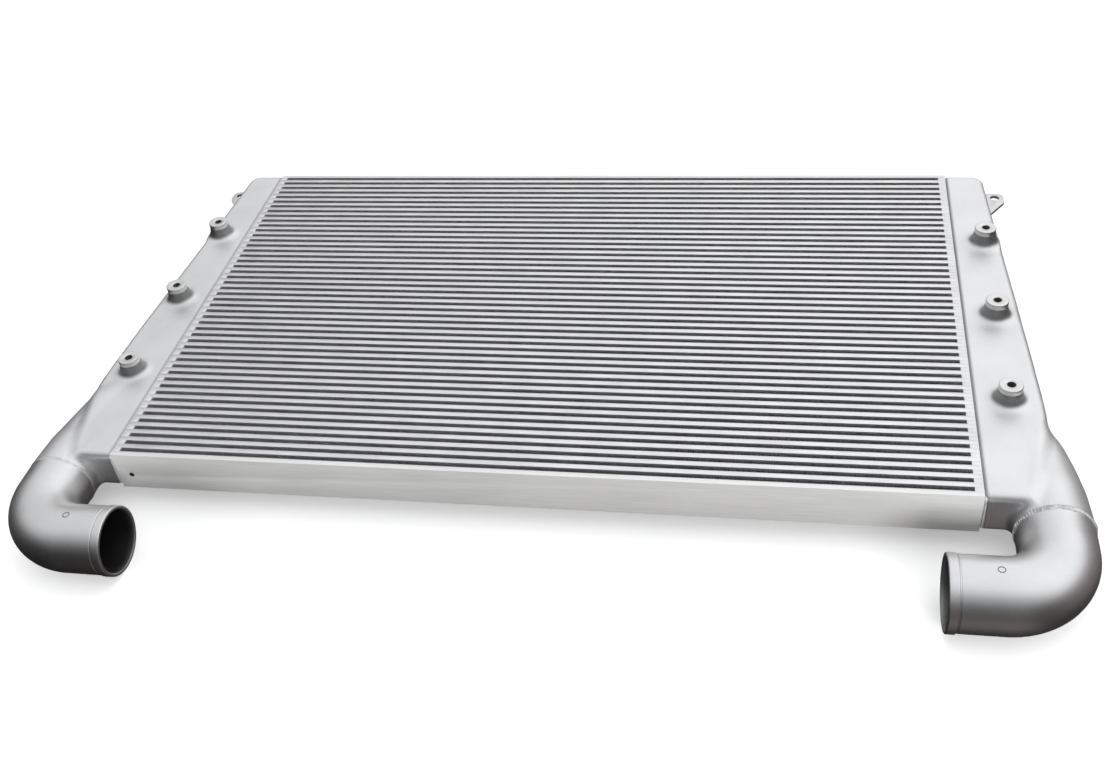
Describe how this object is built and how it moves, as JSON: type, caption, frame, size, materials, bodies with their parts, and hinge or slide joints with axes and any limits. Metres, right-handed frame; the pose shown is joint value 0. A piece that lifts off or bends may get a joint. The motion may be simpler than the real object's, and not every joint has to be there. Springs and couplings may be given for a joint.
{
  "type": "hydraulic oil cooler",
  "caption": "Large bar-and-plate aluminium cooler: a flat finned core between two cast side tanks, each with a beaded hose elbow, threaded mounting bosses and a fixing lug.",
  "frame": {"origin": "centre of the bounding box in plan, at its lowest level, which is the underside of the two hose collars", "axes": "+X from the left tank to the right tank, +Y from the hose elbows to the far side plate, +Z along the air flow out of the finned face that carries the bosses"},
  "size_m": [1.359, 0.8562, 0.1146],
  "materials": {
    "side_plate": "brushed",
    "core_bar": "satin, brazed",
    "parting_sheet": "satin, brazed",
    "fin_foil": "mill finish foil in shade",
    "cast_tank": "bead-blasted casting",
    "cast_elbow": "bead-blasted casting",
    "machined_boss": "turned, blasted foot",
    "weld": "as welded",
    "lug_plate": "satin sheet"
  },
  "bodies": {
    "root": {"near_side_plate": "side_plate", "far_side_plate": "side_plate", "tube_bars_top": "core_bar", "tube_bars_bottom": "core_bar", "end_bars_left": "core_bar", "end_bars_right": "core_bar", "parting_sheets": "parting_sheet", "air_fins": "fin_foil", "turbulators": "fin_foil", "left_tank": "cast_tank", "right_tank": "cast_tank", "left_elbow": "cast_elbow", "right_elbow": "cast_elbow", "left_elbow_weld": "weld", "right_elbow_weld": "weld", "left_tank_weld": "weld", "right_tank_weld": "weld", "left_lug": "lug_plate", "right_lug": "lug_plate", "left_boss_front": "machined_boss", "left_boss_middle": "machined_boss", "left_boss_rear": "machined_boss", "right_boss_front": "machined_boss", "right_boss_middle": "machined_boss", "right_boss_rear": "machined_boss"}
  },
  "joints": []
}
